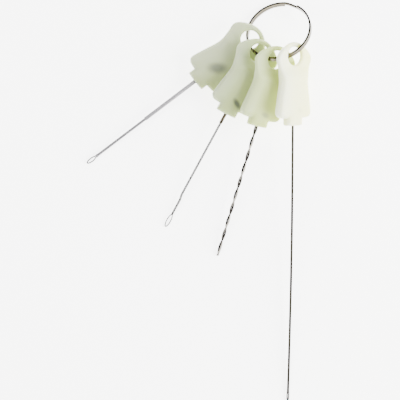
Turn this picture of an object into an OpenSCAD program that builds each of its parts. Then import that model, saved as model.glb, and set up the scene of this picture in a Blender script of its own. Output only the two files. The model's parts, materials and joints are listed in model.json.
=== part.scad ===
// Four wire needle threaders, each with a moulded dress-form grip, on one split key ring.
// Millimetres, +Z up. The set lies on the plane Z = 0, and the origin is the middle of its footprint.
// The ring leans: its far side rests on the plane, and its near side passes through the four eyes.

/* [Ring] */
// Outer diameter of the split ring
ring_d = 25; // [24.8:0.1:25.2]
// Radial thickness of the ring's strip
strip_t = 0.75; // [0.6:0.05:0.8]
// Height of one turn of the strip
strip_h = 0.95; // [0.85:0.05:1]
// Lean of the ring
ring_tilt = 33; // [32.75:0.25:33.25]
// Direction in which the ring leans down, from +X
ring_turn = 120; // [119.5:0.25:120.5]
// Angle on the ring where the strip steps from one turn to the other
jog_at = 60; // [50:5:70]
// Angle that the step takes up
jog_span = 22; // [16:1:28]

/* [Grip] */
// Half width across the stub
stub_w = 3.9; // [3.6:0.1:4.1]
// Height of the stub below the hips
stub_h = 2.6; // [2.2:0.1:2.8]
// Half width at the hips
hip_w = 8.15; // [7.9:0.05:8.3]
// Half width at the waist
waist_w = 6.55; // [6.2:0.05:6.9]
// Half width at the shoulders
shoulder_w = 8.5; // [8.2:0.05:8.7]
// Height from the stub's end to the top of the head
grip_len = 31.1; // [30.8:0.1:31.4]
// Thickness at the rim and round the eye
rim_t = 1.9; // [1.8:0.05:2]
// Thickness in the middle of the torso
torso_t = 4.6; // [4.2:0.1:4.8]

/* [Eye] */
// Height of the eye's centre above the stub's end
eye_u = 25.9; // [25.7:0.1:26.1]
// Radius of the eye at its narrowest
eye_r = 3.5; // [3.4:0.05:3.55]

/* [Wires] */
// Length of the sleeved threader outside its grip
sleeved_len = 51; // [48:0.2:54]
// Length of the fine threader outside its grip
fine_len = 48.3; // [46:0.1:50]
// Length of the twisted threader outside its grip
twisted_len = 51.1; // [48:0.1:54]
// Length of the long threader outside its grip
long_len = 104; // [101:0.5:107]
// Radius of the sleeved threader's shank
shank_r = 0.5; // [0.45:0.01:0.54]
// Outer radius of the sleeve
sleeve_r = 0.72; // [0.68:0.01:0.8]
// Length of the sleeve outside the grip
sleeve_len = 23.6; // [20:0.2:26]
// Wire radius of the fine threader
fine_r = 0.2; // [0.17:0.01:0.22]
// Wire radius of the long threader
long_r = 0.25; // [0.22:0.01:0.27]
// Strand radius of the twisted threader
strand_r = 0.35; // [0.3:0.01:0.38]
// Outer radius of the fine threader's ferrule
ferrule_r = 0.6; // [0.5:0.02:0.7]
// Length of the ferrule outside the grip
ferrule_len = 4; // [3.6:0.1:4.6]
// Length of the sleeved threader's flattened eye
eye_l = 4.4; // [4:0.1:5]
// Length in which a twisted strand goes once round
twist_pitch = 10.4; // [9.6:0.2:11.2]

/* [Hidden] */

// Moves the bounding box's bottom centre to the origin
shift = [0.44, 0.68, 0];
ring_r = (ring_d - strip_t) / 2;
ring_at = [29.5, 63.1, (ring_r + strip_t / 2) * sin(ring_tilt) + strip_h * cos(ring_tilt)];

// Each threader's eye centre, heading of its wire (from -Y towards -X), roll and reach to its tip
sleeved = [[18.75, 60.2, 5.4], 53, 8, eye_u + sleeved_len, 0.6];
fine = [[21.9, 54.9, 9.5], 28.6, 16, eye_u + fine_len, 0.4];
twisted = [[28.4, 52.2, 12.4], 16.6, 27, eye_u + twisted_len, 0.75];
long = [[34.91, 53.5, 13.56], 0.8, 41.6, eye_u + long_len, 0.42];

// Bars inside the grips: [across, height above the stub's end, turn, length, radius]
sleeved_bar = [1.2, 10.1, 52, 6.2, 1];
fine_bar = [1.6, 5.1, -33, 4, 0.75];
twisted_bar = [1.2, 4.9, -18, 3.4, 0.75];
long_bar = [1.5, 5.8, -25, 3.4, 0.75];
// How far the sleeve and the ferrule reach into their grips
sleeve_in = 6.2;
ferrule_in = 3.6;
// Wire radius of the sleeved threader's flattened eye, and half the distance between folded legs
eye_wire = 0.23;
fine_gap = 0.22;
long_gap = 0.28;
// Distance of the fine wire's kink from its tip, and the length it takes up
kink_from = 13.7;
kink_run = 2.4;
// Clearances that keep neighbouring solids from overlapping
loose = 0.02;
slim = 0.02;

function unit(v) = v / norm(v);
function way(p, i) = unit(p[min(i + 1, len(p) - 1)] - p[max(i - 1, 0)]);
function side(p, i) = unit(cross(way(p, i), [0, 0, 1]));
function up(p, i) = cross(side(p, i), way(p, i));
function blend(a, b, c, d, t) = 0.5 * (2 * b + (c - a) * t + (2 * a - 5 * b + 4 * c - d) * t * t
    + (3 * b - a - 3 * c + d) * t * t * t);

// Right half of the grip's outline, from the hips to the head, as [half width, height] knots
knots = [[stub_w, stub_h], [6.6, 2.9], [hip_w - 0.2, 3.9], [hip_w, 5.4], [7.4, 10.5], [waist_w, 16.5],
    [7.4, 21], [shoulder_w, 24.2], [shoulder_w - 0.3, 25.9], [7.2, 27.4], [5.4, 29], [2.9, 30.5],
    [0, grip_len], [-2.9, 30.5]];
half = [[stub_w, 0], for (i = [1 : len(knots) - 3]) for (t = [0 : 0.25 : 0.99])
    i == 1 && t == 0 ? knots[0] : blend(knots[i - 1], knots[i], knots[i + 1], knots[i + 2], t)];

// The whole outline, drawn in by a margin towards the middle of the torso
function drawn_in(p, m) = [0, 16] + (p - [0, 16]) * (1 - m / norm(p - [0, 16]));
function outline(m) = [for (p = half) drawn_in(p, m), drawn_in([0, grip_len], m),
    for (i = [len(half) - 1 : -1 : 0]) drawn_in([-half[i][0], half[i][1]], m)];

// A round tube along a path that never runs straight up
module tube(path, r, sides = 8) {
    n = len(path);
    pts = [for (i = [0 : n - 1]) for (k = [0 : sides - 1])
        path[i] + r * (cos(360 * k / sides) * side(path, i) + sin(360 * k / sides) * up(path, i))];
    walls = [for (i = [0 : n - 2]) for (k = [0 : sides - 1])
        let (a = i * sides + k, b = i * sides + (k + 1) % sides) [a, b, b + sides, a + sides]];
    ends = [[for (k = [sides - 1 : -1 : 0]) k], [for (k = [0 : sides - 1]) (n - 1) * sides + k]];
    polyhedron(pts, concat(walls, ends));
}

// Puts a threader, drawn with its eye at the origin and its wire along -Y, in its place on the ring
module placed(t) {
    drop = asin((t[0][2] - t[4]) / t[3]);
    translate(shift) translate(t[0]) rotate([0, 0, -t[1]]) rotate([drop, 0, 0]) rotate([0, t[2], 0])
        children();
}

// One flat layer of the grip, kept below a height on the torso
module layer(m, t, top) {
    translate([0, -eye_u, -t / 2]) linear_extrude(t) intersection() {
        polygon(outline(m));
        translate([-10, -1]) square([20, top + 1]);
    }
}

module grip() {
    difference() {
        union() {
            layer(0, rim_t, grip_len);
            layer(0.35, rim_t + (torso_t - rim_t) * 0.45, 21.6);
            layer(0.9, rim_t + (torso_t - rim_t) * 0.8, 20.8);
            layer(1.7, torso_t, 19.8);
        }
        difference() {
            cylinder(h = rim_t + 1, r = eye_r + rim_t / 2, center = true, $fn = 64);
            rotate_extrude($fn = 64) translate([eye_r + rim_t / 2, 0]) circle(d = rim_t, $fn = 32);
        }
        children();
    }
}

module stem(r, down, rise) {
    translate([0, -eye_u - down, 0]) rotate([-90, 0, 0]) cylinder(h = rise + down, r = r, $fn = 24);
}

// Bar across the end of a wire inside the grip: [across, height, turn, length, radius]
module bar(b) {
    translate([b[0], b[1] - eye_u, 0]) rotate([0, 0, b[2]]) rotate([0, 90, 0])
        cylinder(h = b[3], r = b[4], center = true, $fn = 32);
}

module anchor(b, bore) {
    difference() {
        bar(b);
        stem(bore, 1, b[1] + 0.3);
    }
}

// A grip cast round its bar, its wire and the collar that the wire comes out of
module moulding(b, bore, collar, rise) {
    difference() {
        grip();
        bar(b);
        stem(bore, 1, b[1] + 0.3);
        stem(collar, 1, rise);
    }
}

module pipe(outer, inner, down, rise) {
    difference() {
        stem(outer, down, rise);
        stem(inner, down + 1, rise + 1);
    }
}

// Folded wire: down one leg, round a narrow loop, and back up the other. It may bow sideways along
// its length and step sideways at a small kink.
module folded(start, reach, gap, neck, loop_w, loop_l, r, bow, kink) {
    function sway(y) = bow * sin(180 * max(0, -eye_u - y) / (reach - eye_u))
        + kink * min(1, max(0, (kink_from - reach - y) / kink_run));
    steps = 16;
    straight = reach - loop_l + start;
    leg = [for (i = [0 : steps]) [i == steps ? neck : gap, start - straight * i / steps]];
    eye = [for (a = [asin(neck / loop_w) + 12 : 12 : 179])
        [loop_w * sin(a), loop_l / 2 * (1 + cos(a)) - reach]];
    right = concat(leg, eye);
    path = concat([for (p = right) [p[0] + sway(p[1]), p[1], 0]], [[sway(-reach), -reach, 0]],
        [for (i = [len(right) - 1 : -1 : 0]) [sway(right[i][1]) - right[i][0], right[i][1], 0]]);
    tube(path, r);
}

module strand(phase) {
    start = twisted_bar[1] - eye_u;
    run = twisted_len + twisted_bar[1];
    n = 60;
    path = [for (i = [0 : n]) let (s = run * i / n, a = phase + 360 * s / twist_pitch)
        [strand_r * cos(a), start - s, strand_r * sin(a)]];
    tube(path, strand_r - 0.01);
}

module band(from, to, low) {
    rotate([0, 0, from]) rotate_extrude(angle = to - from, $fn = 120)
        translate([ring_r - strip_t / 2, low]) square([strip_t, strip_h]);
}

// A slice of the strip, a little slimmer than it, for the step between the turns
module slab(a, low) {
    rotate([0, 0, a]) translate([ring_r - strip_t / 2 + slim, 0, low + slim])
        cube([strip_t - 2 * slim, 0.05, strip_h - 2 * slim]);
}

module split_ring() color("silver") translate(shift) translate(ring_at)
    rotate([0, 0, ring_turn - 90]) rotate([-ring_tilt, 0, 0]) rotate([0, 0, jog_at - ring_turn + 90]) {
        band(jog_span, 360, -strip_h);
        band(jog_span, 357, 0);
        hull() { slab(-1, -strip_h); slab(jog_span / 2, -strip_h / 2); }
        hull() { slab(jog_span / 2, -strip_h / 2); slab(jog_span + 1, 0); }
    }

module grip_sleeved() color("#cdd1bd") placed(sleeved) moulding(sleeved_bar, shank_r + loose, sleeve_r, sleeve_in);
module grip_fine() color("#d5dab8") placed(fine) moulding(fine_bar, fine_gap + fine_r + loose, ferrule_r, ferrule_in);
module grip_twisted() color("#d5dab8") placed(twisted) moulding(twisted_bar, 2 * strand_r + loose, strand_r, 1);
module grip_long() color("#f0f3e4") placed(long) moulding(long_bar, long_gap + long_r + loose, long_r, 1);
module wire_sleeved() color("gray") placed(sleeved) {
    stem(shank_r, sleeved_len - eye_l, sleeved_bar[1]);
    stem(shank_r + 0.1, sleeved_len - eye_l, 0.6 + eye_l - sleeved_len);
    folded(eye_l + 0.3 - sleeved[3], sleeved[3], 0.3, 0.3, 0.62, eye_l - 0.4, eye_wire, 0, 0);
}

module sleeve_tube() color("darkgray") placed(sleeved) pipe(sleeve_r, shank_r + loose, sleeve_len, sleeve_in);
module anchor_sleeved() color("dimgray") placed(sleeved) anchor(sleeved_bar, shank_r + loose);
module wire_fine() color("silver") placed(fine)
    folded(fine_bar[1] - eye_u, fine[3], fine_gap, 0.21, 0.75, 5, fine_r, 0, 0.37);
module ferrule_fine() color("saddlebrown") placed(fine) pipe(ferrule_r, fine_gap + fine_r + loose, ferrule_len, ferrule_in);
module anchor_fine() color("dimgray") placed(fine) anchor(fine_bar, fine_gap + fine_r + loose);
module strand_a() color("silver") placed(twisted) strand(0);
module strand_b() color("silver") placed(twisted) strand(180);
module anchor_twisted() color("dimgray") placed(twisted) anchor(twisted_bar, 2 * strand_r + loose);
module wire_long() color("silver") placed(long)
    folded(long_bar[1] - eye_u, long[3], long_gap, 0.26, 0.42, 3.8, long_r, 0.6, 0);
module anchor_long() color("dimgray") placed(long) anchor(long_bar, long_gap + long_r + loose);

split_ring();
grip_sleeved();
grip_fine();
grip_twisted();
grip_long();
wire_sleeved();
sleeve_tube();
anchor_sleeved();
wire_fine();
ferrule_fine();
anchor_fine();
strand_a();
strand_b();
anchor_twisted();
wire_long();
anchor_long();
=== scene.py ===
import json
import math
import bpy
import numpy as np
from mathutils import Matrix, Vector


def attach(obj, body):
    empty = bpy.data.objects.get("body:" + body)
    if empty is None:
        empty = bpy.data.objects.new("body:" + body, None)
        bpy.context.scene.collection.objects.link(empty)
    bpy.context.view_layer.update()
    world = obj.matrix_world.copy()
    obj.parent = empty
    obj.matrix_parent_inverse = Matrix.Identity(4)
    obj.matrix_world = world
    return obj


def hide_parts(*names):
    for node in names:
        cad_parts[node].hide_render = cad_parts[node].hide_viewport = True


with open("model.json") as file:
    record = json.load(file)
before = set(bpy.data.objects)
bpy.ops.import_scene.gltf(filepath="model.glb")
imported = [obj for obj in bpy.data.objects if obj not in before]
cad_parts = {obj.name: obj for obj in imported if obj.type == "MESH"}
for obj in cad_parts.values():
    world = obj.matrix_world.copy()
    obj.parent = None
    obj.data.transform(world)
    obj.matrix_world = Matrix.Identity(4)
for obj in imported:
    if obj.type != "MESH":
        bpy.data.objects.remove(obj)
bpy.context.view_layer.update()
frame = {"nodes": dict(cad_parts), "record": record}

mm = 0.001
record = frame["record"]
joints = {j["child"]: j for j in record["behaviour"]["joints"]}
mounts = {m["name"]: m for m in record["mounts"]}


def unit(v):
    v = np.asarray(v, float)
    return v / np.linalg.norm(v)


# camera comes first

viewSettings = {
    "height": 0.80,          # lens above the surface, m
    "width": 0.150,          # what the frame spans at the grips' height, m
    "planeHeight": 0.006,
    "aim": (0.00044, 0.00068),
    "sensor": 36.0,
}


def addCamera(s):
    data = bpy.data.cameras.new("camera")
    data.sensor_width = s["sensor"]
    data.lens = s["sensor"] * (s["height"] - s["planeHeight"]) / s["width"]
    data.clip_start = 0.01
    data.clip_end = 10.0
    cam = bpy.data.objects.new("camera", data)
    cam.location = (s["aim"][0], s["aim"][1], s["height"])
    bpy.context.scene.collection.objects.link(cam)
    bpy.context.scene.camera = cam


addCamera(viewSettings)
print("camera set")


# materials

def toLinear(code):
    # sRGB hex to linear: c/12.92 below the toe, ((c + 0.055)/1.055)^2.4 above it
    c = [int(code[i:i + 2], 16) / 255 for i in (1, 3, 5)]
    return tuple(v / 12.92 if v <= 0.04045 else ((v + 0.055) / 1.055) ** 2.4 for v in c) + (1.0,)


def addNode(tree, kind, settings=None, inputs=None):
    # a node with its properties, and its inputs as values or as links from sockets
    node = tree.nodes.new(kind)
    for key, value in (settings or {}).items():
        setattr(node, key, value)
    for key, value in (inputs or {}).items():
        if isinstance(value, bpy.types.NodeSocket):
            tree.links.new(value, node.inputs[key])
        else:
            node.inputs[key].default_value = value
    return node


def newMaterial(name):
    mat = bpy.data.materials.new(name)
    mat.use_nodes = True
    tree = mat.node_tree
    shader = tree.nodes["Principled BSDF"]
    return mat, tree, shader


def setRamp(node, stops):
    ramp = node.color_ramp
    while len(ramp.elements) < len(stops):
        ramp.elements.new(0.5)
    for element, (place, code) in zip(ramp.elements, stops):
        element.position = place
        element.color = toLinear(code)


# pieces: surfaces as grids of points

def gridFaces(rows, cols, wrapRows, wrapCols):
    # quads between neighbouring grid points, and the grid place of each corner for the UV map
    r = np.arange(rows if wrapRows else rows - 1)
    c = np.arange(cols if wrapCols else cols - 1)
    i, j = np.meshgrid(r, c, indexing="ij")
    corners = [(i, j), (i, j + 1), (i + 1, j + 1), (i + 1, j)]
    faces = np.stack([(a % rows) * cols + b % cols for a, b in corners], -1).reshape(-1, 4)
    places = np.stack([np.stack([a, b], -1) for a, b in corners], -2).reshape(-1, 4, 2)
    return faces, places


def capFaces(rows, cols):
    # triangle fans from the first and last grid rows to the two middle points that follow the grid
    k = np.arange(cols)
    ahead = (k + 1) % cols
    end = (rows - 1) * cols
    first = np.stack([ahead, k, np.full(cols, rows * cols)], -1)
    last = np.stack([end + k, end + ahead, np.full(cols, rows * cols + 1)], -1)
    return [tuple(f) for f in first] + [tuple(f) for f in last]


def addPiece(name, points, faces, uv, body, nodes, material):
    mesh = bpy.data.meshes.new(name)
    mesh.from_pydata(points.tolist(), [], [list(f) for f in faces])
    layer = mesh.uv_layers.new(name="surface")
    layer.data.foreach_set("uv", np.asarray(uv, np.float32).ravel())
    mesh.polygons.foreach_set("use_smooth", np.ones(len(mesh.polygons), bool))
    mesh.materials.append(material)
    mesh.validate()
    mesh.update()
    piece = bpy.data.objects.new(name, mesh)
    bpy.context.scene.collection.objects.link(piece)
    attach(piece, body)
    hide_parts(*nodes)


def nodePoints(name):
    mesh = frame["nodes"][name].data
    flat = np.empty(len(mesh.vertices) * 3, np.float32)
    mesh.vertices.foreach_get("co", flat)
    return flat.reshape(-1, 3).astype(float)


def threaderAxes(body):
    # origin at the eye's centre, third axis the hinge, second axis from the stub's end to the head
    joint = joints[body]
    origin, normal = np.array(joint["pos_m"]), unit(joint["axis"])
    points = nodePoints("grip_" + body)
    reach = np.linalg.norm(points - origin, axis=1)
    stub = points[reach > reach.max() - 0.3 * mm].mean(0)
    along = origin - stub
    along = unit(along - normal * (along @ normal))
    return origin, np.array([np.cross(along, normal), along, normal])


threaders = {body: threaderAxes(body) for body in ("sleeved", "fine", "twisted", "long")}


def toFrame(body, local):
    # millimetres on the threader's own axes to metres in the frame
    origin, axes = threaders[body]
    return origin + mm * (np.asarray(local) @ axes)


def tubeMesh(path, radius, sides, roundEnds=True):
    # circles carried along a path that stays near the local plane; a quarter-circle closes each end
    path = np.asarray(path, float)
    tangent = np.gradient(path, axis=0)
    tangent /= np.linalg.norm(tangent, axis=1)[:, None]
    side = np.cross(tangent, [0.0, 0.0, 1.0])
    side /= np.linalg.norm(side, axis=1)[:, None]
    up = np.cross(side, tangent)
    r = np.broadcast_to(np.asarray(radius, float), (len(path),)).copy()
    q = np.radians(np.array([88.0, 66.0, 44.0, 22.0])) if roundEnds else np.radians([89.0])
    depth = 1.0 if roundEnds else 0.02
    rows = [(path[0] - depth * r[0] * math.sin(a) * tangent[0], side[0], up[0], r[0] * math.cos(a))
            for a in q]
    rows += [(path[i], side[i], up[i], r[i]) for i in range(len(path))]
    rows += [(path[-1] + depth * r[-1] * math.sin(a) * tangent[-1], side[-1], up[-1], r[-1] * math.cos(a))
             for a in q[::-1]]
    centre = np.array([x[0] for x in rows])
    s = np.array([x[1] for x in rows])
    u = np.array([x[2] for x in rows])
    rad = np.array([x[3] for x in rows])
    turn = np.linspace(0, 2 * math.pi, sides, endpoint=False)
    points = centre[:, None] + rad[:, None, None] * (
        np.cos(turn)[None, :, None] * s[:, None] + np.sin(turn)[None, :, None] * u[:, None])
    n = len(rows)
    faces, places = gridFaces(n, sides, False, True)
    length = np.concatenate([[0], np.cumsum(np.linalg.norm(np.diff(centre, axis=0), axis=1))])
    uv = np.stack([places[..., 1] / sides, length[places[..., 0]]], -1)
    points = points.reshape(-1, 3)
    points = np.vstack([points, centre[:1], centre[-1:]])
    allFaces = [tuple(f) for f in faces] + capFaces(n, sides)
    return points, allFaces, np.vstack([uv.reshape(-1, 2), np.zeros((6 * sides, 2))])


# grips

grip = {
    "eyeHeight": 25.9,       # mm above the stub's end
    "eyeRadius": 3.5,
    "length": 31.1,
    "width": 17.0,
    "softening": 5,          # passes that round the outline's corners
    "stub": (3.9, 2.6),      # half width and height
    "rimHalf": 0.95,         # half thickness at the rim, and in the torso
    "torsoHalf": 2.3,
    "torsoFrom": (-3.6, -8.0),    # heights from the eye over which the torso swells
    "rimRound": 0.9,
    "pillowRound": 3.4,
    "outlinePoints": 320,
    "across": 34,
    # half width and height above the stub's end, from the stub round the hips to the head
    "knots": [(3.9, 2.6), (6.6, 2.9), (7.95, 3.9), (8.15, 5.4), (7.4, 10.5), (6.55, 16.5), (7.4, 21.0),
              (8.5, 24.2), (8.2, 25.9), (7.2, 27.4), (5.4, 29.0), (2.9, 30.5), (0.0, 31.1), (-2.9, 30.5)],
}


def gripOutline(s):
    # a curve through the knots (Catmull-Rom), mirrored, spaced evenly and softened at its corners
    k = np.array(s["knots"])
    t = np.linspace(0, 1, 16, endpoint=False)[:, None]
    curve = [0.5 * (2 * b + (c - a) * t
                    + (2 * a - 5 * b + 4 * c - d) * t ** 2
                    + (3 * b - a - 3 * c + d) * t ** 3)
             for a, b, c, d in zip(k[:-3], k[1:-2], k[2:-1], k[3:])]
    w, h = s["stub"]
    shoulder = k[0] + (k[1] - k[0]) * t
    right = np.vstack([[(0.0, -0.12), (w * 0.6, -0.06), (w, 0.05)], shoulder, *curve, [(0.0, s["length"])]])
    left = right[-2:0:-1] * (-1, 1)
    loop = np.vstack([right, left, right[:1]])
    step = np.concatenate([[0], np.cumsum(np.linalg.norm(np.diff(loop, axis=0), axis=1))])
    even = np.linspace(0, step[-1], s["outlinePoints"] * 3, endpoint=False)
    loop = np.stack([np.interp(even, step, loop[:, i]) for i in (0, 1)], -1)
    for _ in range(s["softening"]):
        loop = (np.roll(loop, 1, 0) + 2 * loop + np.roll(loop, -1, 0)) / 4
    return loop[::3] - (0.0, s["eyeHeight"])


def quarter(d, size):
    # height of a quarter circle of this radius at a distance from its edge, as a share of its radius
    return np.sqrt(np.clip(1 - (1 - np.clip(d / size, 0, 1)) ** 2, 0, 1))


def smooth(x):
    # eases from 0 to 1 as 3x squared less 2x cubed
    x = np.clip(x, 0, 1)
    return x * x * (3 - 2 * x)


def gripMesh(s):
    # spokes from the eye's rim to the outline; height is a round rim plus a pillow that swells to the torso
    outer = gripOutline(s)
    inner = outer / np.linalg.norm(outer, axis=1)[:, None] * s["eyeRadius"]
    share = (1 - np.cos(np.linspace(0, math.pi, s["across"] + 1))) / 2
    flat = inner[:, None] + share[None, :, None] * (outer - inner)[:, None]
    near = np.full(flat.shape[:2], 1e9)
    for start in range(0, len(outer), 40):
        gap = flat[:, :, None] - outer[None, None, start:start + 40]
        near = np.minimum(near, np.sqrt((gap ** 2).sum(-1)).min(-1))
    near[:, -1] = 0
    fromEye = np.linalg.norm(flat, axis=-1) - s["eyeRadius"]
    fromEye[:, 0] = 0
    edge = np.minimum(near, np.clip(fromEye, 0, None))
    hi, lo = s["torsoFrom"]
    swell = smooth((hi - flat[..., 1]) / (hi - lo))
    z = s["rimHalf"] * quarter(edge, s["rimRound"])
    z = z + (s["torsoHalf"] - s["rimHalf"]) * swell * quarter(near, s["pillowRound"])
    top = np.concatenate([flat, z[..., None]], -1)
    under = top[:, -2:0:-1] * (1, 1, -1)
    ring = np.concatenate([top, under], 1)
    faces, places = gridFaces(ring.shape[0], ring.shape[1], True, True)
    uv = places / np.array(ring.shape[:2])
    return ring.reshape(-1, 3), faces[:, ::-1], uv[:, ::-1].reshape(-1, 2)


paintedWireEndShade = "#5C6152"      # painted shade: colour of the dark patch where the wire's bent end lies buried in the plastic


def mouldedPlastic(name, body, stops, shadeSpot, paintedShadeStrength):
    # Soft translucent PVC, moulded: milky, matt, light bleeds through it. Painted light is in its colour: a
    # ramp across the handle from a painted pale sheen at the left edge to painted olive shade at the right,
    # and a soft dark patch of painted shade over the wire's bent end buried inside.
    mat, tree, shader = newMaterial(name)
    origin, axes = threaders[body]
    turn = Matrix(axes.T.tolist()).to_euler()
    place = addNode(tree, "ShaderNodeTexCoord").outputs["Object"]
    across = addNode(tree, "ShaderNodeMapping", {"vector_type": "TEXTURE"},
                     {"Vector": place, "Location": tuple(origin), "Rotation": turn,
                      "Scale": (grip["width"] * mm,) * 3})
    parts = addNode(tree, "ShaderNodeSeparateXYZ", None, {"Vector": across.outputs[0]})
    cloud = addNode(tree, "ShaderNodeTexNoise", {"noise_dimensions": "3D"},
                    {"Vector": place, "Scale": 1 / (9 * mm), "Detail": 2.0})
    wander = addNode(tree, "ShaderNodeMath", {"operation": "MULTIPLY_ADD"},
                     {0: cloud.outputs["Fac"], 1: 0.18, 2: 0.41})
    shade = addNode(tree, "ShaderNodeMath", {"operation": "ADD"},
                    {0: parts.outputs["X"], 1: wander.outputs[0]})
    # painted light: the ramp runs from a painted pale sheen at the handle's left edge to painted olive shade
    # at its right, with random tone from the cloud
    ramp = addNode(tree, "ShaderNodeValToRGB", None, {"Fac": shade.outputs[0]})
    setRamp(ramp, stops)
    # painted shade: a soft dark patch around the buried wire end, darkest at its middle
    x, y, angle, long, wide = shadeSpot
    centre = toFrame(body, (x, y, 0))
    spin = (Matrix(axes.T.tolist()) @ Matrix.Rotation(math.radians(angle), 3, "Z")).to_euler()
    seen = addNode(tree, "ShaderNodeMapping", {"vector_type": "TEXTURE"},
                   {"Vector": place, "Location": tuple(centre), "Rotation": spin,
                    "Scale": (long * mm, wide * mm, 30 * mm)})
    far = addNode(tree, "ShaderNodeVectorMath", {"operation": "LENGTH"}, {0: seen.outputs[0]})
    dark = addNode(tree, "ShaderNodeMapRange", {"interpolation_type": "SMOOTHSTEP"},
                   {"Value": far.outputs["Value"], "From Min": 0.25, "From Max": 1.15,
                    "To Min": paintedShadeStrength, "To Max": 0.0})
    colour = addNode(tree, "ShaderNodeMix", {"data_type": "RGBA"},
                     {"Factor": dark.outputs[0], 6: ramp.outputs[0], 7: toLinear(paintedWireEndShade)})
    grain = addNode(tree, "ShaderNodeTexNoise", None,
                    {"Vector": place, "Scale": 1 / (0.35 * mm), "Detail": 3.0})
    bump = addNode(tree, "ShaderNodeBump", None,
                   {"Height": grain.outputs["Fac"], "Strength": 0.06, "Distance": 0.05 * mm})
    tree.links.new(colour.outputs[2], shader.inputs["Base Color"])
    tree.links.new(bump.outputs[0], shader.inputs["Normal"])
    shader.inputs["Roughness"].default_value = 0.46
    shader.inputs["IOR"].default_value = 1.46
    shader.inputs["Subsurface Weight"].default_value = 0.75
    shader.inputs["Subsurface Radius"].default_value = (1.0, 1.0, 0.62)
    shader.inputs["Subsurface Scale"].default_value = 2.4 * mm
    shader.inputs["Sheen Weight"].default_value = 0.15
    shader.inputs["Sheen Roughness"].default_value = 0.5
    return mat


# stops: colour across the handle, from its left edge to its right; the plastic's own green, painted paler at
# the left edge as sheen and deeper olive towards the right as shade
# painted shade of the buried wire end: its place (mm from the eye), its turn in degrees, its half sizes in
# mm, and how dark the painted shade gets
gripLooks = {
    "sleeved": {"node": "grip_sleeved", "shadeSpot": (1.0, -16.1, 50, 4.8, 2.7), "paintedShadeStrength": 0.8,
                "stops": [(0.0, "#B5BB9E"), (0.35, "#ABB48C"), (0.65, "#A4AE7B"), (1.0, "#9DA869")]},
    "fine": {"node": "grip_fine", "shadeSpot": (1.5, -20.5, -33, 3.0, 1.3), "paintedShadeStrength": 0.95,
             "stops": [(0.0, "#B0B999"), (0.35, "#A8B47E"), (0.65, "#ABB778"), (1.0, "#ABB666")]},
    "twisted": {"node": "grip_twisted", "shadeSpot": (1.2, -21.0, -18, 2.2, 1.2), "paintedShadeStrength": 0.45,
                "stops": [(0.0, "#BCC798"), (0.35, "#B6C27A"), (0.65, "#BAC575"), (1.0, "#BCC66B")]},
    "long": {"node": "grip_long", "shadeSpot": (1.5, -20.1, -25, 2.0, 1.2), "paintedShadeStrength": 0.1,
             "stops": [(0.0, "#F0F4D8"), (0.35, "#F4F9C6"), (0.65, "#F7FBBE"), (1.0, "#F5F9B8")]},
}
gripPoints, gripFaces, gripUv = gripMesh(grip)
for body, look in gripLooks.items():
    plastic = mouldedPlastic("soft_moulded_pvc_" + body, body, look["stops"], look["shadeSpot"], look["paintedShadeStrength"])
    addPiece("moulded_" + look["node"], toFrame(body, gripPoints), gripFaces, gripUv, body,
             [look["node"]], plastic)
print("grips made")


# metals

def drawnMetal(name, code, dullCode, roughness, lineWidth):
    # Cold-drawn wire: fine lines run along it, and a thin dull film breaks up the shine.
    mat, tree, shader = newMaterial(name)
    place = addNode(tree, "ShaderNodeUVMap", {"uv_map": "surface"}).outputs[0]
    lines = addNode(tree, "ShaderNodeMapping", None,
                    {"Vector": place, "Scale": (2.2 / lineWidth, 0.25, 1.0)})
    streak = addNode(tree, "ShaderNodeTexNoise", None,
                     {"Vector": lines.outputs[0], "Scale": 1.0, "Detail": 2.0})
    patch = addNode(tree, "ShaderNodeTexNoise", None,
                    {"Vector": addNode(tree, "ShaderNodeTexCoord").outputs["Object"],
                     "Scale": 1 / (4 * mm), "Detail": 2.0})
    mix = addNode(tree, "ShaderNodeMix", {"data_type": "RGBA"},
                  {"Factor": patch.outputs["Fac"], 6: toLinear(code), 7: toLinear(dullCode)})
    rough = addNode(tree, "ShaderNodeMapRange", None,
                    {"Value": streak.outputs["Fac"], "From Min": 0.3, "From Max": 0.7,
                     "To Min": roughness * 0.75, "To Max": roughness * 1.3})
    bump = addNode(tree, "ShaderNodeBump", None,
                   {"Height": streak.outputs["Fac"], "Strength": 0.15, "Distance": 0.01 * mm})
    tree.links.new(mix.outputs[2], shader.inputs["Base Color"])
    tree.links.new(rough.outputs[0], shader.inputs["Roughness"])
    tree.links.new(bump.outputs[0], shader.inputs["Normal"])
    shader.inputs["Metallic"].default_value = 1.0
    return mat


def smoothTube(name, code, roughness):
    # Extruded grey nylon tube: even colour, faint length lines, satin.
    mat, tree, shader = newMaterial(name)
    place = addNode(tree, "ShaderNodeUVMap", {"uv_map": "surface"}).outputs[0]
    lines = addNode(tree, "ShaderNodeMapping", None, {"Vector": place, "Scale": (9.0, 0.4, 1.0)})
    streak = addNode(tree, "ShaderNodeTexNoise", None,
                     {"Vector": lines.outputs[0], "Scale": 1.0, "Detail": 2.0})
    tone = addNode(tree, "ShaderNodeMapRange", None,
                   {"Value": streak.outputs["Fac"], "From Min": 0.3, "From Max": 0.7,
                    "To Min": 0.0, "To Max": 0.35})
    mix = addNode(tree, "ShaderNodeMix", {"data_type": "RGBA"},
                  {"Factor": tone.outputs[0], 6: toLinear(code), 7: toLinear("#5A575A")})
    tree.links.new(mix.outputs[2], shader.inputs["Base Color"])
    shader.inputs["Roughness"].default_value = roughness
    shader.inputs["Subsurface Weight"].default_value = 0.2
    shader.inputs["Subsurface Radius"].default_value = (1.0, 1.0, 1.0)
    shader.inputs["Subsurface Scale"].default_value = 0.4 * mm
    return mat


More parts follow.
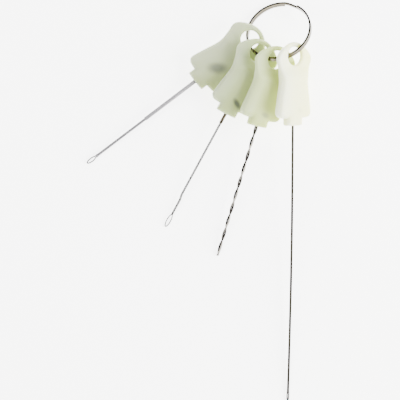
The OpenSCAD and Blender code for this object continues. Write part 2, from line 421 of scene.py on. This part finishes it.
nickel = drawnMetal("nickel_plated_spring_steel", "#615B4F", "#4B463B", 0.13, 0.3)
brightWire = drawnMetal("drawn_stainless_wire", "#A29E95", "#77736A", 0.22, 0.3)
darkWire = drawnMetal("oil_blacked_steel_wire", "#26231F", "#191714", 0.25, 0.3)
ferruleMetal = drawnMetal("tarnished_brass_ferrule", "#544C3D", "#353028", 0.4, 0.3)
bareWire = drawnMetal("bare_annealed_steel_wire", "#2A2722", "#1D1B18", 0.16, 0.3)
crimpMetal = drawnMetal("crimped_steel_end", "#6B6C66", "#4D4E49", 0.45, 0.3)
shankCoat = smoothTube("grey_nylon_coating", "#686568", 0.38)
sleeveCoat = smoothTube("grey_nylon_sleeve", "#898689", 0.42)
for node in ("anchor_sleeved", "anchor_fine", "anchor_twisted", "anchor_long"):
    obj = frame["nodes"][node]
    for slotItem in obj.material_slots:
        slotItem.material = crimpMetal


# split ring

ringShape = {
    "outer": 12.5,           # radius, mm
    "thick": 0.75,
    "turnHeight": 0.95,
    "corner": 0.06,
    "jogFromLow": 300.0,     # where the strip steps, measured from the ring's lowest point, degrees
    "jogSpan": 22.0,
    "endAt": 357.0,          # how far the second turn goes round, degrees
    "stepDegrees": 1.5,
}


def stripProfile(s):
    # rounded rectangle: straight sides joined by quarter circles at the corners
    a, b, c = s["thick"] / 2, s["turnHeight"] / 2, s["corner"]
    arc = np.radians(np.linspace(0, 90, 5))
    w, h = a - c, b - c
    corners = [(w, h, arc), (-w, h, arc + math.pi / 2), (-w, -h, arc + math.pi), (w, -h, arc + 1.5 * math.pi)]
    return np.vstack([np.stack([x + c * np.cos(q), y + c * np.sin(q)], -1) for x, y, q in corners])


def ringMesh(s):
    # the strip's section carried twice round a circle, stepping up one height over the jog
    mount = mounts["ring_loop"]
    centre, normal = np.array(mount["pos_m"]), unit(mount["axis"])
    low = np.array([normal[0], normal[1], 0.0])
    low = unit(low - normal * (low @ normal))
    sideways = np.cross(low, normal)
    angle = np.radians(np.arange(s["jogSpan"] + 0.4, 360 + s["endAt"], s["stepDegrees"]))
    lift = smooth((np.degrees(angle) - 360) / s["jogSpan"]) - 0.5
    profile = stripProfile(s)
    radius = s["outer"] - s["thick"] / 2
    world = angle + math.radians(s["jogFromLow"] + 90)
    out = np.cos(world)[:, None] * sideways + np.sin(world)[:, None] * low
    points = (centre + mm * ((radius + profile[None, :, 0, None]) * out[:, None]
              + (profile[None, :, 1, None] + (lift * s["turnHeight"])[:, None, None]) * normal))
    n, m = points.shape[:2]
    faces, places = gridFaces(n, m, False, True)
    uv = np.stack([places[..., 1] / m, places[..., 0] * radius * math.radians(s["stepDegrees"])], -1)
    flat = points.reshape(-1, 3)
    middle = np.vstack([points[0].mean(0), points[-1].mean(0)])
    allFaces = [tuple(f) for f in faces] + capFaces(n, m)
    return np.vstack([flat, middle]), allFaces, np.vstack([uv.reshape(-1, 2), np.zeros((6 * m, 2))])


points, faces, uv = ringMesh(ringShape)
addPiece("strip_of_split_ring", points, faces, uv, "ring", ["split_ring"], nickel)
print("ring made")


# wires

foldedWire = {
    "closeRun": 2.2,         # length over which the two legs close to the neck, mm
    "kinkFrom": 13.7,        # where the sideways step begins, above the tip, mm
    "kinkRun": 2.4,
    "turnStep": 7,           # degrees between points round the loop
}


def foldedPath(w, steps):
    # down one leg, round an oval loop, and back up: the legs close to the neck just before the loop,
    # and both bow sideways in half a sine wave and step sideways at the kink
    f, reach = foldedWire, w["reach"]
    loopTop = w["loopLong"] - reach
    y = np.linspace(w["start"], loopTop, steps)
    close = smooth((loopTop + f["closeRun"] - y) / f["closeRun"])
    leg = np.stack([w["gap"] + (w["neck"] - w["gap"]) * close, y], -1)
    firstTurn = math.degrees(math.asin(w["neck"] / w["loopWide"])) + f["turnStep"]
    a = np.radians(np.arange(firstTurn, 180, f["turnStep"]))
    eye = np.stack([w["loopWide"] * np.sin(a), w["loopLong"] / 2 * (1 + np.cos(a)) - reach], -1)
    right = np.vstack([leg, eye])
    loop = np.vstack([right, [(0.0, -reach)], right[::-1] * (-1, 1)])
    run = np.clip(-grip["eyeHeight"] - loop[:, 1], 0, None) / (reach - grip["eyeHeight"])
    step = smooth((f["kinkFrom"] - reach - loop[:, 1]) / f["kinkRun"])
    sway = w["bow"] * np.sin(math.pi * run) + w["kink"] * step
    return np.stack([loop[:, 0] + sway, loop[:, 1], np.zeros(len(loop))], -1)


def strandPath(t, phase, steps):
    # a helix round the threader's axis
    run = np.linspace(0, t["start"] + t["reach"], steps)
    a = math.radians(phase) + 2 * math.pi * run / t["pitch"]
    return np.stack([t["radius"] * np.cos(a), t["start"] - run, t["radius"] * np.sin(a)], -1)


# mm down from the eye's centre, and half widths across
wires = {
    "fine": {"node": "wire_fine", "start": -20.8, "reach": 74.2, "gap": 0.22, "neck": 0.21,
             "loopWide": 0.75, "loopLong": 5.0, "bow": 0.0, "kink": 0.37, "radius": 0.2},
    "long": {"node": "wire_long", "start": -20.1, "reach": 129.9, "gap": 0.28, "neck": 0.26,
             "loopWide": 0.42, "loopLong": 3.8, "bow": 0.6, "kink": 0.0, "radius": 0.25},
}
for body, w in wires.items():
    points, faces, uv = tubeMesh(foldedPath(w, 70), w["radius"], 16)
    addPiece("folded_" + w["node"], toFrame(body, points), faces, uv, body, [w["node"]],
             bareWire)

twist = {
    "start": -21.0,
    "reach": 77.0,
    "radius": 0.35,          # from the middle line to each strand's own, mm
    "pitch": 10.4,
    "clear": 0.01,           # each strand is this much thinner than the room it has
}
for node, phase, metal in (("strand_a", 0, brightWire), ("strand_b", 180, darkWire)):
    path = strandPath(twist, phase, 220)
    points, faces, uv = tubeMesh(path, twist["radius"] - twist["clear"], 16)
    addPiece("twisted_" + node, toFrame("twisted", points), faces, uv, "twisted", [node],
             metal)

shank = {
    "start": -15.8,
    "end": -72.5,
    "radius": 0.5,
    "collar": 0.6,           # length of the swelling where the eye's wire comes out, mm
    "collarRise": 0.09,
    "chamfer": 0.1,
}
shankEye = {"start": -72.0, "reach": 76.9, "gap": 0.28, "neck": 0.26, "loopWide": 0.62, "loopLong": 3.9,
            "bow": 0.0, "kink": 0.0, "radius": 0.22}


def shankProfile(s):
    # a straight run of heights, then a collar with sloped shoulders, each with its radius
    foot, slope = s["end"], s["chamfer"]
    collarTop = foot + s["collar"]
    y = np.concatenate([np.linspace(s["start"], collarTop + slope, 40),
                        [collarTop, collarTop - slope, foot + slope, foot]])
    rise = np.concatenate([np.zeros(41), [s["collarRise"], s["collarRise"], 0.0]])
    return np.stack([y * 0, y, y * 0], -1), s["radius"] + rise


shankPath, shankRadii = shankProfile(shank)
points, faces, uv = tubeMesh(shankPath, shankRadii, 24, False)
eyePoints, eyeFaces, eyeUv = tubeMesh(foldedPath(shankEye, 8), shankEye["radius"], 16)
addPiece("coated_wire_sleeved", toFrame("sleeved", points), faces, uv, "sleeved", ["wire_sleeved"],
         shankCoat)
addPiece("eye_of_wire_sleeved", toFrame("sleeved", eyePoints), eyeFaces, eyeUv, "sleeved", ["wire_sleeved"],
         bareWire)


def pipeMesh(p, sides):
    # a wall turned round the threader's axis: outside down, bevelled mouth, inside back up
    outer, inner, top, bottom, bevel = (p[k] for k in ("outer", "inner", "top", "bottom", "bevel"))
    rounding = 0.3 * bevel
    profile = np.array([(inner, top), (outer, top), (outer, bottom + bevel),
                        (outer - rounding, bottom + rounding), (outer - bevel, bottom), (inner, bottom)])
    turn = np.linspace(0, 2 * math.pi, sides, endpoint=False)
    height = np.broadcast_to(profile[:, None, 1], (len(profile), sides))
    points = np.stack([profile[:, None, 0] * np.cos(turn), height, profile[:, None, 0] * np.sin(turn)], -1)
    faces, places = gridFaces(len(profile), sides, True, True)
    length = np.concatenate([profile[:, 1], profile[:1, 1]])
    uv = np.stack([places[..., 1] / sides, -length[places[..., 0]]], -1)
    return points.reshape(-1, 3), faces[:, ::-1], uv[:, ::-1].reshape(-1, 2)


# radii and heights from the eye's centre, mm
pipes = {
    "sleeved": {"node": "sleeve_tube", "outer": 0.72, "inner": 0.52, "top": -19.7, "bottom": -49.5,
                "bevel": 0.2, "slot": "sleeve_plastic", "material": sleeveCoat},
    "fine": {"node": "ferrule_fine", "outer": 0.6, "inner": 0.44, "top": -22.3, "bottom": -29.9,
             "bevel": 0.1, "slot": "ferrule_metal", "material": ferruleMetal},
}
for body, p in pipes.items():
    points, faces, uv = pipeMesh(p, 32)
    addPiece("round_" + p["node"], toFrame(body, points), faces, uv, body, [p["node"]],
             p["material"])
print("wires made")


# surface and light

def addSheet(name, corners, code, glow):
    mesh = bpy.data.meshes.new(name)
    mesh.from_pydata(corners, [], [(0, 1, 2, 3)])
    sheet = bpy.data.objects.new(name, mesh)
    bpy.context.scene.collection.objects.link(sheet)
    mat, tree, shader = newMaterial(name + "_board")
    shader.inputs["Base Color"].default_value = toLinear(code)
    shader.inputs["Roughness"].default_value = 0.9
    shader.inputs["Specular IOR Level"].default_value = 0.1
    shader.inputs["Emission Color"].default_value = toLinear("#FFFFFF")
    shader.inputs["Emission Strength"].default_value = glow
    mesh.materials.append(mat)


floor = {"half": 2.0, "below": 0.0001, "colour": "#F6F6F4", "glow": 4.6}     # a pale light table, m

# the flat edges of the ring mirror the dark card; with the joints moved, it stands before the camera
# in a few low views from behind
darkCard = {"middle": (-0.62, 0.92, 0.52), "across": (0.70, 0.45, 0.0), "rise": (-0.10, 0.14, 0.40),
            "colour": "#1C1B18"}

room = {"colour": "#F4F5F7", "strength": 0.45}

lights = [
    {"name": "key", "place": (0.70, -0.10, 0.42), "size": 0.7, "power": 28.0},
    {"name": "fill", "place": (-0.50, 0.10, 0.85), "size": 0.7, "power": 14.0},
    {"name": "back", "place": (0.35, 0.70, 0.55), "size": 0.5, "power": 5.0},
]


def addLights():
    for s in lights:
        data = bpy.data.lights.new(s["name"], "AREA")
        data.size = s["size"]
        data.energy = s["power"]
        lamp = bpy.data.objects.new(s["name"], data)
        lamp.location = s["place"]
        aim = Vector((0, 0, 0)) - Vector(s["place"])
        lamp.rotation_euler = aim.to_track_quat("-Z", "Y").to_euler()
        bpy.context.scene.collection.objects.link(lamp)
    world = bpy.data.worlds.new("studio")
    world.use_nodes = True
    world.node_tree.nodes["Background"].inputs["Color"].default_value = toLinear(room["colour"])
    world.node_tree.nodes["Background"].inputs["Strength"].default_value = room["strength"]
    bpy.context.scene.world = world


signs = [(-1, -1), (1, -1), (1, 1), (-1, 1)]
addSheet("floor", [(i * floor["half"], j * floor["half"], -floor["below"]) for i, j in signs],
         floor["colour"], floor["glow"])
middle, across, rise = (np.array(darkCard[k]) for k in ("middle", "across", "rise"))
addSheet("dark_card", [(middle + i * across + j * rise).tolist() for i, j in signs], darkCard["colour"], 0.0)
addLights()
print("floor and lights set")
